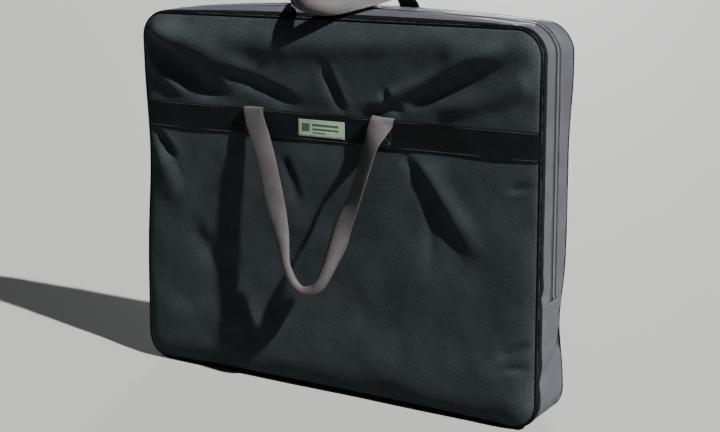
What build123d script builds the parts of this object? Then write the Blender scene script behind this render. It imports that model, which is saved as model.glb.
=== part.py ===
"""A flat zipped carrying bag for a folded display rack.

Millimetres. The origin is the middle of the base, +Z is up, the front faces -Y and the
wide side runs along X. The front folds open about a line level with the ends of the zip.
"""

from build123d import *

import os
from math import cos, radians, sin

os.makedirs("parts", exist_ok=True)

# The bag
WIDTH = 820
HEIGHT = 670
DEPTH = 115
CORNER = 48  # outside radius of the four corners

# Cloth and padding
CLOTH = 1.2
FOAM = 3.0
LINING = 0.8
EDGE = 4.2  # the corner that the piping fills, both ways
PIPING_R = 2.0
BOARD = 3.0
BINDING = 2.0
BINDING_WIDTH = 9

# Zip
FOLD_Z = 195  # the front folds here
FOLD_GAP = 0.3
END_TOP = 214  # top of the strip that closes off each end of the zip
ZIP_Y = 5  # middle of the zip, just behind the middle of the gusset
ZIP_OPEN = 12  # from the middle of the zip to the hem of each gusset strip
TAPE = 0.8
TAPE_UNDER = 6  # how far a tape runs under its strip
COIL_GAP = 0.7  # half the gap between the two coils
COIL = 2.2
COIL_THICK = 3.0
COIL_PROUD = 0.4

# Webbing
BAND_LOW, BAND_HIGH = 455, 504
BAND = 1.6
WEBBING = 40
STRAP = 2.0
END_HEIGHT = 7  # what shows of a handle's end above the band
LEFT_END, RIGHT_END = -152, 117  # middles of a handle's two ends
LOOP_X = 10  # below this the front handle's loop is lowest
CREST_X = -24  # here the rear handle's loop reaches furthest forward
HANG = 10  # degrees that the front handle stands off the bag
CREST_Z = 690  # where the rear handle bends forward over the top

FRONT = -DEPTH / 2
REAR = DEPTH / 2


def save(piece, name):
    """Labels a finished piece and writes it out."""
    piece.part.label = name
    export_step(piece.part, f"parts/{name}.step")


def layer(inset, front, rear, low=0, high=HEIGHT):
    """A flat layer with the bag's outline, cut level at low and high."""
    with BuildPart() as piece:
        with BuildSketch(Plane.XZ.offset(-front)):
            with Locations((0, HEIGHT / 2)):
                RectangleRounded(WIDTH - 2 * inset, HEIGHT - 2 * inset, CORNER - inset)
            with Locations((0, (low + high) / 2)):
                Rectangle(WIDTH, high - low, mode=Mode.INTERSECT)
        extrude(amount=front - rear)
    return piece


def hoop(outer, inner, front, rear, low=0, high=HEIGHT):
    """A strip that follows the bag's outline between two insets."""
    with BuildPart() as piece:
        with BuildSketch(Plane.XZ.offset(-front)):
            with Locations((0, HEIGHT / 2)):
                RectangleRounded(WIDTH - 2 * outer, HEIGHT - 2 * outer, CORNER - outer)
                RectangleRounded(
                    WIDTH - 2 * inner, HEIGHT - 2 * inner, CORNER - inner, mode=Mode.SUBTRACT
                )
            with Locations((0, (low + high) / 2)):
                Rectangle(WIDTH + 4, high - low, mode=Mode.INTERSECT)
        extrude(amount=front - rear)
    return piece


def block(x, y, z):
    """A box given by its low and high along each axis."""
    with BuildPart() as piece:
        with Locations(((x[0] + x[1]) / 2, (y[0] + y[1]) / 2, (z[0] + z[1]) / 2)):
            Box(x[1] - x[0], y[1] - y[0], z[1] - z[0])
    return piece


def piping(y, points, closed=False):
    """A round cord along the seam, through points in the XZ plane."""
    with BuildPart() as piece:
        with BuildLine(Plane.XZ.offset(-y)) as seam:
            FilletPolyline(*points, radius=CORNER - EDGE / 2, close=closed)
        with BuildSketch(Plane(origin=seam.line @ 0, z_dir=seam.line % 0)):
            Circle(PIPING_R)
        sweep()
    return piece


def panel(name, y, out, low, high):
    """Cloth, foam and lining of one panel; out is -1 on the front and 1 on the rear."""
    depth = 0
    for layer_name, thick in (("panel", CLOTH), ("foam", FOAM), ("lining", LINING)):
        faces = sorted((y - out * depth, y - out * (depth + thick)))
        save(layer(EDGE, *faces, low, high), name.format(layer_name))
        depth += thick


# Panels
panel("rear_{}", REAR, 1, 0, HEIGHT)
panel("front_{}_upper", FRONT, -1, FOLD_Z + FOLD_GAP, HEIGHT)
panel("front_{}_lower", FRONT, -1, 0, FOLD_Z)

# Gusset: two strips with the zip between them, and a deep strip round the bottom
strip_front = FRONT + EDGE
strip_rear = REAR - EDGE
save(
    hoop(0, CLOTH, strip_front, ZIP_Y - ZIP_OPEN, END_TOP + FOLD_GAP, HEIGHT),
    "gusset_front",
)
save(hoop(0, CLOTH, ZIP_Y + ZIP_OPEN, strip_rear, END_TOP + FOLD_GAP, HEIGHT), "gusset_rear")
save(hoop(0, CLOTH, strip_front, strip_rear, 0, FOLD_Z), "gusset_bottom")
for side, end_name in ((-1, "zip_end_left"), (1, "zip_end_right")):
    save(
        block(
            sorted((side * (WIDTH / 2 - CLOTH), side * WIDTH / 2)),
            (strip_front, strip_rear),
            (FOLD_Z + FOLD_GAP, END_TOP),
        ),
        end_name,
    )

# Bottom stiffener and its cover
flat = WIDTH / 2 - CORNER
board_low = CLOTH + 0.1
save(
    block((-flat, flat), (-42, 42), (board_low, board_low + BOARD)),
    "bottom_board",
)
save(
    block((-flat, flat), (-42, 42), (board_low + BOARD, board_low + BOARD + LINING)),
    "bottom_lining",
)

# Zip
tape_out = CLOTH + 0.1
tape_low = END_TOP + FOLD_GAP
coil_low = END_TOP + 4.5
save(
    hoop(
        tape_out,
        tape_out + TAPE,
        ZIP_Y - ZIP_OPEN - TAPE_UNDER,
        ZIP_Y - COIL_GAP - COIL,
        tape_low,
    ),
    "zip_tape_front",
)
save(
    hoop(
        tape_out,
        tape_out + TAPE,
        ZIP_Y + COIL_GAP + COIL,
        ZIP_Y + ZIP_OPEN + TAPE_UNDER,
        tape_low,
    ),
    "zip_tape_rear",
)
coil_edges = (-COIL_PROUD, COIL_THICK - COIL_PROUD)
save(
    hoop(*coil_edges, ZIP_Y - COIL_GAP - COIL, ZIP_Y - COIL_GAP, coil_low, HEIGHT + 1),
    "zip_coil_front",
)
save(
    hoop(*coil_edges, ZIP_Y + COIL_GAP, ZIP_Y + COIL_GAP + COIL, coil_low, HEIGHT + 1),
    "zip_coil_rear",
)
for side, stop_name in ((-1, "zip_stop_left"), (1, "zip_stop_right")):
    save(
        block(
            sorted((side * (WIDTH / 2 - 2.6), side * (WIDTH / 2 + 0.4))),
            (ZIP_Y + COIL_GAP, ZIP_Y + COIL_GAP + COIL),
            (END_TOP + 0.8, coil_low - 0.3),
        ),
        stop_name,
    )

# Slider, parked at the left end: two plates, a web between the coils and a bridge
SLIDER_LOW, SLIDER_HIGH = 222, 236
PLATE = 1.5
PLATE_WIDTH = 9
slider_mid = (SLIDER_LOW + SLIDER_HIGH) / 2
side_x = -WIDTH / 2
outer_plate = side_x - COIL_PROUD - 0.4
inner_plate = side_x + COIL_THICK - COIL_PROUD + 0.4
bridge_in = 3.2
bridge_wall = 1.2
with BuildPart() as zip_slider:
    for plate_x in (outer_plate - PLATE / 2, inner_plate + PLATE / 2):
        with Locations((plate_x, ZIP_Y, slider_mid)):
            Box(PLATE, PLATE_WIDTH, SLIDER_HIGH - SLIDER_LOW)
    with Locations(((outer_plate + inner_plate) / 2, ZIP_Y, slider_mid)):
        Box(inner_plate - outer_plate, 0.8, SLIDER_HIGH - SLIDER_LOW)
    plate_edges = zip_slider.edges().filter_by(Axis.X).filter_by(
        lambda edge: abs(edge.center().Y - ZIP_Y) > 3
    )
    fillet(plate_edges, 2.5)
    with BuildSketch(Plane.XZ.offset(-ZIP_Y)):
        bridge_x = outer_plate - PLATE - bridge_in / 2
        with Locations((bridge_x - bridge_wall / 2, slider_mid)):
            Rectangle(bridge_in + bridge_wall, 6 + 2 * bridge_wall)
        with Locations((bridge_x, slider_mid)):
            Rectangle(bridge_in, 6, mode=Mode.SUBTRACT)
    extrude(amount=1.2, both=True)
save(zip_slider, "zip_slider")

PULL_LENGTH = 30
PULL = 1.3
pull_x = bridge_x
with BuildPart() as zip_pull:
    with BuildSketch(Plane.YZ.offset(pull_x - PULL / 2)):
        with Locations((ZIP_Y, slider_mid + PULL / 2 - PULL_LENGTH / 2)):
            RectangleRounded(8, PULL_LENGTH, 0.6)
        with Locations((ZIP_Y, slider_mid - PULL / 2 - 3.1)):
            Rectangle(4.4, 6.2, mode=Mode.SUBTRACT)
        with Locations((ZIP_Y, slider_mid - PULL_LENGTH + 5.5)):
            Circle(1.8, mode=Mode.SUBTRACT)
    extrude(amount=PULL)
save(zip_pull, "zip_pull")

# Piping in the four long seams
side = WIDTH / 2 - EDGE / 2
top = HEIGHT - EDGE / 2
foot = EDGE / 2
save(
    piping(
        FRONT + EDGE / 2,
        [(-side, FOLD_Z + FOLD_GAP), (-side, top), (side, top), (side, FOLD_Z + FOLD_GAP)],
    ),
    "piping_front_upper",
)
save(
    piping(FRONT + EDGE / 2, [(-side, FOLD_Z), (-side, foot), (side, foot), (side, FOLD_Z)]),
    "piping_front_lower",
)
save(
    piping(
        REAR - EDGE / 2,
        [(-side, foot), (-side, top), (side, top), (side, foot)],
        closed=True,
    ),
    "piping_rear",
)

# Tape that binds the seams inside
bind = CLOTH + 0.1
stack = CLOTH + FOAM + LINING + 0.2
bind_front = (FRONT + stack, FRONT + stack + BINDING_WIDTH)
bind_rear = (REAR - stack - BINDING_WIDTH, REAR - stack)
save(hoop(bind, bind + BINDING, *bind_front, END_TOP + FOLD_GAP, HEIGHT), "binding_front_upper")
save(hoop(bind, bind + BINDING, *bind_front, 0, FOLD_Z), "binding_front_lower")
save(hoop(bind, bind + BINDING, *bind_rear), "binding_rear")

# Webbing across both faces, its threads, and the handles' ends and tacks
band_end = WIDTH / 2 - EDGE
band_mid = (BAND_LOW + BAND_HIGH) / 2
for name, face, out in (("front", FRONT, -1), ("rear", REAR, 1)):
    band_faces = sorted((face, face + out * BAND))
    thread_faces = sorted((face + out * BAND, face + out * (BAND + 0.4)))
    save(
        block((-band_end, band_end), band_faces, (BAND_LOW, BAND_HIGH)),
        f"band_{name}",
    )
    with BuildPart() as threads:
        for thread_z in (BAND_LOW + 2.5, BAND_HIGH - 2.5):
            with Locations((0, sum(thread_faces) / 2, thread_z)):
                Box(2 * band_end, 0.4, 0.8)
    save(threads, f"band_{name}_thread")
    with BuildPart() as ends:
        for end_x in (LEFT_END, RIGHT_END):
            with Locations((end_x, face + out * STRAP / 2, BAND_HIGH + 0.1 + END_HEIGHT / 2)):
                Box(WEBBING, STRAP, END_HEIGHT)
    save(ends, f"handle_{name}_ends")
    with BuildPart() as tacks:
        with BuildSketch(Plane.XZ.offset(-thread_faces[0])):
            with Locations((LEFT_END, band_mid), (RIGHT_END, band_mid)):
                Rectangle(34, 36)
                Rectangle(32.4, 34.4, mode=Mode.SUBTRACT)
        extrude(amount=-0.4)
    save(tacks, f"handle_{name}_tacks")

# Label on the front band
label_x, label_z, label_w, label_h = -6, 478, 96, 30
label_front = FRONT - BAND - 0.7
save(
    block(
        (label_x - label_w / 2, label_x + label_w / 2),
        (label_front, FRONT - BAND),
        (label_z - label_h / 2, label_z + label_h / 2),
    ),
    "label",
)
with BuildPart() as label_thread:
    with BuildSketch(Plane.XZ.offset(-label_front)):
        with Locations((label_x, label_z)):
            Rectangle(label_w - 4, label_h - 4)
            Rectangle(label_w - 5.2, label_h - 5.2, mode=Mode.SUBTRACT)
    extrude(amount=0.3)
save(label_thread, "label_thread")

# Front handle: hangs from the top edge of the band and stands off the bag
hinge_z = BAND_HIGH + END_HEIGHT
lean = radians(HANG)
hang_plane = Plane(
    origin=(0, FRONT - STRAP - 0.8, hinge_z), x_dir=(1, 0, 0), z_dir=(0, -cos(lean), sin(lean))
)
with BuildPart() as handle_front:
    with BuildSketch(hang_plane):
        with BuildLine():
            FilletPolyline((LEFT_END, 0), (LOOP_X, -372), (RIGHT_END, 0), radius=45)
        trace(line_width=WEBBING)
        with Locations((0, -200)):
            Rectangle(400, 400, mode=Mode.INTERSECT)
    extrude(amount=STRAP)
save(handle_front, "handle_front")

# Rear handle: its legs rise behind the bag, and its loop lies forward over the top
leg_top = CREST_Z - 1.5
crest_left, crest_right = LEFT_END + 27, RIGHT_END - 25
leg_low = hinge_z + 1
with BuildPart() as handle_rear_legs:
    with BuildSketch(Plane.XZ.offset(-(REAR + STRAP + 0.7))):
        for low_x, high_x in ((LEFT_END, crest_left), (RIGHT_END, crest_right)):
            with BuildLine():
                Line((low_x, leg_low - 10), (high_x, leg_top + 10))
            trace(line_width=WEBBING)
        with Locations((0, (leg_low + leg_top) / 2)):
            Rectangle(WIDTH, leg_top - leg_low, mode=Mode.INTERSECT)
    extrude(amount=-STRAP)
save(handle_rear_legs, "handle_rear_legs")
with BuildPart() as handle_rear_loop:
    with BuildSketch(Plane.XY.offset(CREST_Z)):
        with BuildLine():
            FilletPolyline(
                (crest_left, REAR + 2), (CREST_X, -104), (crest_right, REAR + 2), radius=42
            )
        trace(line_width=WEBBING)
        with Locations((0, REAR + 2 - 200)):
            Rectangle(400, 400, mode=Mode.INTERSECT)
    extrude(amount=STRAP)
save(handle_rear_loop, "handle_rear_loop")
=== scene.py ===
"""Looks for a flat zipped carrying bag of coated cloth.

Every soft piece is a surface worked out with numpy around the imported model, whose front
faces -Y. Each is drawn first on the bag's straight outline and then passed through
settle(), which gives all of them the same sag and crown, so that their seams stay joined.
"""

from math import cos, pi, radians, sin

import bpy
import numpy as np
from bpy.props import FloatProperty, FloatVectorProperty, PointerProperty
from mathutils import Matrix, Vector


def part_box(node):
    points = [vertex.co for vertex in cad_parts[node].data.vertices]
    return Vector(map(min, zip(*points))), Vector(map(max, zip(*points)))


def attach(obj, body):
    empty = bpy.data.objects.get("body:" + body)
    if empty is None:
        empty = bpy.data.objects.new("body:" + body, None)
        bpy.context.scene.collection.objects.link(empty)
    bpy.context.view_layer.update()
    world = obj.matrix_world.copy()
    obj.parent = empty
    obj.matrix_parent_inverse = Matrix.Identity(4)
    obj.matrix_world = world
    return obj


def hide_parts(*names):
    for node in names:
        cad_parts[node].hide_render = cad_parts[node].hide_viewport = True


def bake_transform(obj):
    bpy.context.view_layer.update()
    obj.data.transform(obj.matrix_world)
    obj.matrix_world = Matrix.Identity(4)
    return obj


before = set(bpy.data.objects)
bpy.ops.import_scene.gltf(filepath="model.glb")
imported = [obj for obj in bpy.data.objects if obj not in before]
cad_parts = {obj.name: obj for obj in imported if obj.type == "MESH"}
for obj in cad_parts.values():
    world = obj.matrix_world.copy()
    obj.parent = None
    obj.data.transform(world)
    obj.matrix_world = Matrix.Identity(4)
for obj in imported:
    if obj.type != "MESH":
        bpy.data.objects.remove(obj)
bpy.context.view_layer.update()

bl_info = {
    "name": "Display rack carrying bag",
    "version": (1, 0, 0),
    "blender": (4, 5, 0),
    "location": "3D View > Sidebar > Bag",
    "description": "Makes the cloth, webbing, zip and stage of a flat carrying bag",
    "category": "Add Mesh",
}

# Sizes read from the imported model, in metres
LOW = {name: np.array(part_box(name)[0]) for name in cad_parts}
HIGH = {name: np.array(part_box(name)[1]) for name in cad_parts}
WIDTH = 2 * HIGH["gusset_bottom"][0]
HEIGHT = HIGH["gusset_rear"][2]
FRONT = LOW["front_panel_lower"][1]
REAR = HIGH["rear_panel"][1]
FOLD_Z = HIGH["front_panel_lower"][2]
END_TOP = HIGH["zip_end_left"][2]
STRIP_FRONT = (LOW["gusset_front"][1], HIGH["gusset_front"][1])
STRIP_REAR = (LOW["gusset_rear"][1], HIGH["gusset_rear"][1])
ZIP_Y = (HIGH["zip_coil_front"][1] + LOW["zip_coil_rear"][1]) / 2
BAND_LOW, BAND_HIGH = LOW["band_front"][2], HIGH["band_front"][2]
SEAM_IN = WIDTH / 2 - (HIGH["rear_panel"][0] + HIGH["piping_rear"][0]) / 2

MM = 0.001

# No cloth lies lower than this
FLOOR_GAP = 0.4 * MM


# Settings


def size(name, description, default):
    return FloatProperty(name=name, description=description, default=default, unit="LENGTH")


class BagSizes(bpy.types.PropertyGroup):
    """Sizes that a user may change"""

    corner: size("Corner radius", "Outside radius of the corners", 0.048)
    crown: size("Crown", "How far the top rises behind the front seam", 0.019)
    belly: size("Belly", "How far the front swells near the foot", 0.015)
    creases: FloatProperty(
        name="Creases", description="Depth of the folds, as a share of what is listed", default=0.85, min=0
    )
    webbing: size("Handle webbing", "Width of the handles' webbing", 0.040)
    stitch: size("Stitch", "Length from one stitch to the next", 0.0036)
    tooth: size("Zip pitch", "Length from one tooth to the next", 0.0026)


def colour(name, value):
    return FloatVectorProperty(
        name=name,
        description=f"Base colour of the {name.lower()}",
        subtype="COLOR",
        default=value,
        min=0,
        max=1,
    )


class BagColours(bpy.types.PropertyGroup):
    """Colours that a user may change"""

    cloth: colour("Panel cloth", (0.0152, 0.0190, 0.0203))
    # Paler than the panel cloth; part of that is painted light, raised so that the gusset's lit right side
    # shows bright
    gusset: colour("Gusset cloth", (0.033, 0.0355, 0.040))
    lining: colour("Lining", (0.055, 0.056, 0.062))
    band: colour("Band webbing", (0.0026, 0.0038, 0.0038))
    handle: colour("Handle webbing", (0.042, 0.039, 0.0405))
    tape: colour("Zip tape", (0.008, 0.0095, 0.0115))
    piping: colour("Piping", (0.0035, 0.0042, 0.0048))
    thread: colour("Thread", (0.032, 0.034, 0.038))
    label: colour("Label", (0.17, 0.24, 0.17))
    bars: colour("Label's bars", (0.02, 0.032, 0.02))
    coil: colour("Zip coil", (0.022, 0.023, 0.026))
    enamel: colour("Slider and pull", (0.02, 0.02, 0.022))
    steel: colour("Zip stops", (0.45, 0.45, 0.46))
    board: colour("Bottom board", (0.12, 0.12, 0.13))


# Shapes


def smooth(value, low, high):
    """0 below low, 1 above high, and a smooth S between."""
    t = np.clip((value - low) / (high - low), 0, 1)
    return t * t * (3 - 2 * t)


def bell(value, centre, width):
    """1 at centre, falling away on both sides as e to the minus square."""
    return np.exp(-(((value - centre) / width) ** 2))


def settle(points):
    """The slump shared by all soft pieces, as a smooth shift of each point.

    The top rises behind the front seam, most in the middle. Both long seams at the foot
    ride up a little where the bottom rests. The front seam on the left is drawn in below
    the band; the rear edge on the right stands out above and is drawn in at the zip's end.
    """
    sizes = bpy.context.scene.bag_sizes
    p = np.array(points, float)
    x, y, z = p[..., 0], p[..., 1], p[..., 2]
    middle = np.clip(1 - (x / 0.40) ** 2, 0, 1) ** 0.8
    behind = np.clip((y - FRONT) / (ZIP_Y - FRONT), 0, 1)
    rise = sizes.crown * np.sin(behind * pi / 2) + 0.001 * np.clip(y - ZIP_Y, 0, 1) / 0.05
    lift = rise * middle * smooth(z, 0.50, HEIGHT)
    seam = smooth(np.abs(y), 0.043, REAR)
    lift = lift + 0.006 * middle * seam * (1 - smooth(z, 0.0, 0.10))
    to_front = smooth(-y, 0.0, -FRONT)
    to_rear = smooth(y, 0.012, REAR)
    drawn = 0.011 * bell(z, 0.40, 0.13) * to_front * smooth(-x, 0.25, WIDTH / 2)
    corner = to_rear * smooth(x, 0.26, WIDTH / 2)
    side = corner * (0.0045 * smooth(z, 0.46, 0.60) - 0.007 * bell(z, 0.165, 0.065))
    back = corner * (0.004 * smooth(z, 0.45, 0.60) - 0.006 * bell(z, 0.17, 0.09))
    p[..., 0] = x + drawn + side
    p[..., 1] = y + back
    p[..., 2] = np.maximum(z + lift, FLOOR_GAP)
    return p


def arch(low, top, half, radius, step):
    """Up from height low on the left, over two quarter circles and down to low on the right.

    Gives the points and their outward directions.
    """
    points, outward = [], []

    def run(a, b, direction):
        count = max(2, int(np.ceil(np.hypot(b[0] - a[0], b[1] - a[1]) / step)) + 1)
        points.append(np.linspace(a, b, count))
        outward.append(np.tile(direction, (count, 1)))

    def turn(centre_x, first):
        count = int(np.ceil(radius * radians(90) / (0.6 * step))) + 1
        angle = np.radians(np.linspace(first, first - 90, count))
        direction = np.stack([np.cos(angle), np.sin(angle)], 1)
        points.append(np.array((centre_x, top - radius)) + radius * direction)
        outward.append(direction)

    run((-half, low), (-half, top - radius), (-1, 0))
    turn(-half + radius, 180)
    run((-half + radius, top), (half - radius, top), (0, 1))
    turn(half - radius, 90)
    run((half, top - radius), (half, low), (1, 0))
    return np.concatenate(points), np.concatenate(outward)


def outline(inset, cut=None, upper=True, step=0.004):
    """The bag's outline in the XZ plane: straight runs joined by quarter circles.

    Gives the points, their outward directions and the length so far. With cut it is the
    part above or below that height, from left to right; without, it is the whole loop.
    The lower part is an arch turned upside down.
    """
    radius, half = bpy.context.scene.bag_sizes.corner - inset, WIDTH / 2 - inset
    level = HEIGHT / 2 if cut is None else cut
    over = arch(level, HEIGHT - inset, half, radius, step)
    under = [part * (1, -1) for part in arch(-level, -inset, half, radius, step)]
    if cut is None:
        points, outward = (np.concatenate([a, b[::-1]]) for a, b in zip(over, under))
    else:
        points, outward = over if upper else under
    fresh = np.append(True, np.hypot(*np.diff(points, axis=0).T) > 1e-7)
    if cut is None:
        fresh[-1] = False
    points, outward = points[fresh], outward[fresh]
    length = np.append(0, np.cumsum(np.hypot(*np.diff(points, axis=0).T)))
    return points, outward, length


def around(path, out, y):
    """Points that stand out from an outline by out, at depth y; both are broadcast."""
    points, outward, _ = path
    out, y = np.broadcast_arrays(out, y)
    out = np.broadcast_to(out, (len(points), out.shape[-1]))
    y = np.broadcast_to(y, out.shape)
    x = points[:, None, 0] + outward[:, None, 0] * out
    z = points[:, None, 1] + outward[:, None, 1] * out
    return np.stack([x, y, z], -1)


def edge_distance(x, z, inset):
    """How far inside the rounded outline each point lies."""
    radius = bpy.context.scene.bag_sizes.corner - inset
    qx = np.abs(x) - (WIDTH / 2 - inset - radius)
    qz = np.abs(z - HEIGHT / 2) - (HEIGHT / 2 - inset - radius)
    outside = np.hypot(np.maximum(qx, 0), np.maximum(qz, 0))
    return radius - outside - np.minimum(np.maximum(qx, qz), 0)


def fold(x, z, line, width, height, lean=0.0):
    """One soft fold: a bell across a curve through three points, fading at both ends.

    width is the bell's half width at the start and the end. A lean makes the far side of
    the fold fall the other way, as in a crease with a ridge beside it.
    """
    a, b, c = (np.array(point) * MM for point in line)
    pieces = 14
    t = np.linspace(0, 1, pieces + 1)
    curve = ((1 - t) ** 2)[:, None] * a + (2 * t * (1 - t))[:, None] * b + (t * t)[:, None] * c
    best = np.full(x.shape, 1e9)
    side, at = np.zeros(x.shape), np.zeros(x.shape)
    for start, end, where in zip(curve, curve[1:], t):
        run = end - start
        dx, dz = x - start[0], z - start[1]
        along = np.clip((dx * run[0] + dz * run[1]) / (run @ run), 0, 1)
        far = (dx - along * run[0]) ** 2 + (dz - along * run[1]) ** 2
        near = far < best
        best = np.where(near, far, best)
        side = np.where(near, np.sign(dx * run[1] - dz * run[0]), side)
        at = np.where(near, where + along / pieces, at)
    across = np.sqrt(best) / ((width[0] + (width[1] - width[0]) * at) * MM)
    fade = smooth(at, 0.0, 0.18) * (1 - smooth(at, 0.72, 1.0)) * 0.85 + 0.15
    tilt = lean * side * across * bell(across, 0, 1.6)
    return height * MM * fade * (bell(across, 0, 1) + tilt)


def ripple(x, z, scale, seed):
    """Slow random swells: a sum of waves of about one length, turned all ways."""
    draw = np.random.default_rng(seed)
    total = np.zeros(np.broadcast(x, z).shape)
    for _ in range(9):
        angle, phase = draw.uniform(0, 2 * pi, 2)
        wave = 2 * pi / (scale * draw.uniform(0.7, 1.5))
        total += np.sin(wave * (x * cos(angle) + z * sin(angle)) + phase)
    return total / 3


# Each fold: three points on the panel, half width at each end and height in mm, then lean
FRONT_FOLDS = (
    (((-404, 640), (-330, 560), (-180, 508)), (14, 22), -13.0, 0.5),
    (((-396, 658), (-285, 612), (-135, 552)), (24, 27), 12.0, 0.0),
    (((-404, 590), (-370, 556), (-290, 508)), (13, 14), 8.0, 0.0),
    (((-225, 572), (-130, 548), (-40, 508)), (13, 15), -9.0, 0.4),
    (((2, 592), (22, 550), (44, 507)), (8, 8), -7.0, 0.6),
    (((356, 650), (201, 573), (60, 510)), (12, 11), 9.5, 0.0),
    (((404, 640), (262, 562), (118, 510)), (16, 14), -7.0, 0.2),
    (((260, 628), (150, 612), (20, 606)), (20, 24), -6.0, 0.0),
    (((402, 588), (330, 560), (200, 508)), (18, 20), 8.0, 0.0),
    (((404, 560), (370, 540), (300, 508)), (13, 14), -4.0, 0.0),
    (((118, 556), (140, 532), (158, 508)), (9, 9), -5.0, 0.5),
    (((158, 452), (198, 408), (268, 292)), (8, 12), -5.0, 0.6),
    (((186, 452), (236, 384), (320, 268)), (15, 20), 5.5, 0.0),
    (((205, 405), (216, 340), (212, 250)), (11, 15), -3.0, 0.0),
    (((-404, 458), (-378, 440), (-335, 390)), (8, 12), -8.0, 0.6),
    (((-396, 420), (-350, 370), (-330, 300)), (22, 28), 4.5, 0.0),
    (((-92, 425), (-68, 385), (-50, 330)), (10, 13), -3.0, 0.3),
    (((405, 414), (388, 411), (352, 402)), (4, 7), -3.0, 0.5),
    (((405, 152), (385, 142), (338, 112)), (5, 9), -5.0, 0.6),
    (((405, 112), (388, 108), (350, 98)), (4.5, 7), -4.0, 0.6),
    (((-390, 120), (-250, 92), (-60, 110)), (26, 30), 3.0, 0.0),
    (((-300, 270), (-250, 225), (-190, 205)), (20, 24), -4.0, 0.3),
    (((60, 180), (150, 230), (330, 220)), (40, 46), 3.5, 0.0),
    (((-230, 420), (-250, 350), (-330, 230)), (26, 34), -2.0, 0.2),
)

REAR_FOLDS = (
    (((-395, 640), (-320, 570), (-180, 512)), (16, 22), -7.0, 0.4),
    (((392, 655), (300, 600), (140, 512)), (16, 24), -8.0, 0.5),
    (((-120, 600), (-40, 560), (60, 545)), (24, 30), 5.0, 0.0),
    (((-150, 452), (-190, 390), (-300, 300)), (9, 16), -6.0, 0.6),
    (((125, 450), (170, 390), (240, 250)), (9, 15), -6.5, 0.6),
    (((402, 440), (360, 400), (300, 380)), (9, 13), -5.0, 0.4),
    (((-402, 160), (-350, 140), (-260, 150)), (9, 14), -4.5, 0.5),
    (((-40, 300), (20, 240), (60, 120)), (22, 26), -3.5, 0.0),
)


def relief(x, z, folds, seed):
    """How far a panel's cloth stands out from its seam plane.

    It swells away from the seams, most near the foot and just below the top, and the folds
    and a fine ripple run over that. All of it dies away at the seams and is pressed flat at
    the band.
    """
    sizes = bpy.context.scene.bag_sizes
    inside = edge_distance(x, z, SEAM_IN)
    at_band = np.exp(-(((z - (BAND_LOW + BAND_HIGH) / 2) / 0.044) ** 4))
    usual, top = 6.5 * MM, 11.5 * MM
    swell = usual + (sizes.belly - usual) * bell(z, 0.052, 0.078) + top * bell(z, 0.628, 0.034)
    body = swell * (1 - np.exp(-inside / 0.018)) * (1 - 0.35 * at_band)
    worked = sum(fold(x, z, *one) for one in folds)
    for turn, (height, scale) in enumerate(((1.1, 0.14), (0.14, 0.042), (0.03, 0.017))):
        worked = worked + height * MM * ripple(x, z, scale, seed + turn)
    loose = worked * sizes.creases * (1 - 0.85 * at_band)
    return body + loose * smooth(inside, 0.0, 0.030)


def front_relief(x, z):
    return relief(x, z, FRONT_FOLDS, 11)


def rear_relief(x, z):
    return relief(x, z, REAR_FOLDS, 37)


# The bag's two faces: name, the way it looks along Y, how its cloth stands, and its body
FACES = (("front", -1, front_relief, "flap"), ("rear", 1, rear_relief, "shell"))


def panel_grid(inset, columns, rows):
    """A grid over the bag's outline: level rows, each spread from edge to edge.

    Near the foot and the top the rows follow equal turns of the corner's quarter circle.
    """
    radius = bpy.context.scene.bag_sizes.corner - inset
    half, turn_rows = WIDTH / 2 - inset, max(6, rows // 12)
    angle = np.linspace(0, pi / 2, turn_rows + 1)
    rise = radius * (1 - np.cos(angle))
    straight = np.linspace(inset + radius, HEIGHT - inset - radius, rows - 2 * turn_rows)[1:-1]
    z = np.concatenate([inset + rise, straight, HEIGHT - inset - rise[::-1]])
    beyond = np.clip(radius - np.minimum(z - inset, HEIGHT - inset - z), 0, radius)
    reach = half - radius + np.sqrt(radius**2 - beyond**2)
    u = np.linspace(-1, 1, columns)
    return reach[:, None] * u, np.repeat(z[:, None], columns, 1)


def normals(points):
    """Unit normals of a grid of points, from its two gradients."""
    n = np.cross(np.gradient(points, axis=0), np.gradient(points, axis=1))
    return n / np.maximum(np.linalg.norm(n, axis=-1, keepdims=True), 1e-12)


def smooth_path(knots, step):
    """A curve through the knots (Catmull-Rom) with points about step apart."""
    k = np.array(knots, float)
    k = np.concatenate([2 * k[:1] - k[1:2], k, 2 * k[-1:] - k[-2:-1]])
    t = np.linspace(0, 1, 40, endpoint=False)[:, None]
    spans = [
        0.5
        * (
            2 * b
            + (c - a) * t
            + (2 * a - 5 * b + 4 * c - d) * t**2
            + (3 * b - a - 3 * c + d) * t**3
        )
        for a, b, c, d in zip(k, k[1:], k[2:], k[3:])
    ]
    dense = np.concatenate([*spans, k[-2:-1]])
    far = np.append(0, np.cumsum(np.linalg.norm(np.diff(dense[:, :3], axis=0), axis=1)))
    at = np.linspace(0, far[-1], int(far[-1] / step) + 2)
    return np.stack([np.interp(at, far, dense[:, i]) for i in range(k.shape[1])], 1), at


# Meshes


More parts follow.
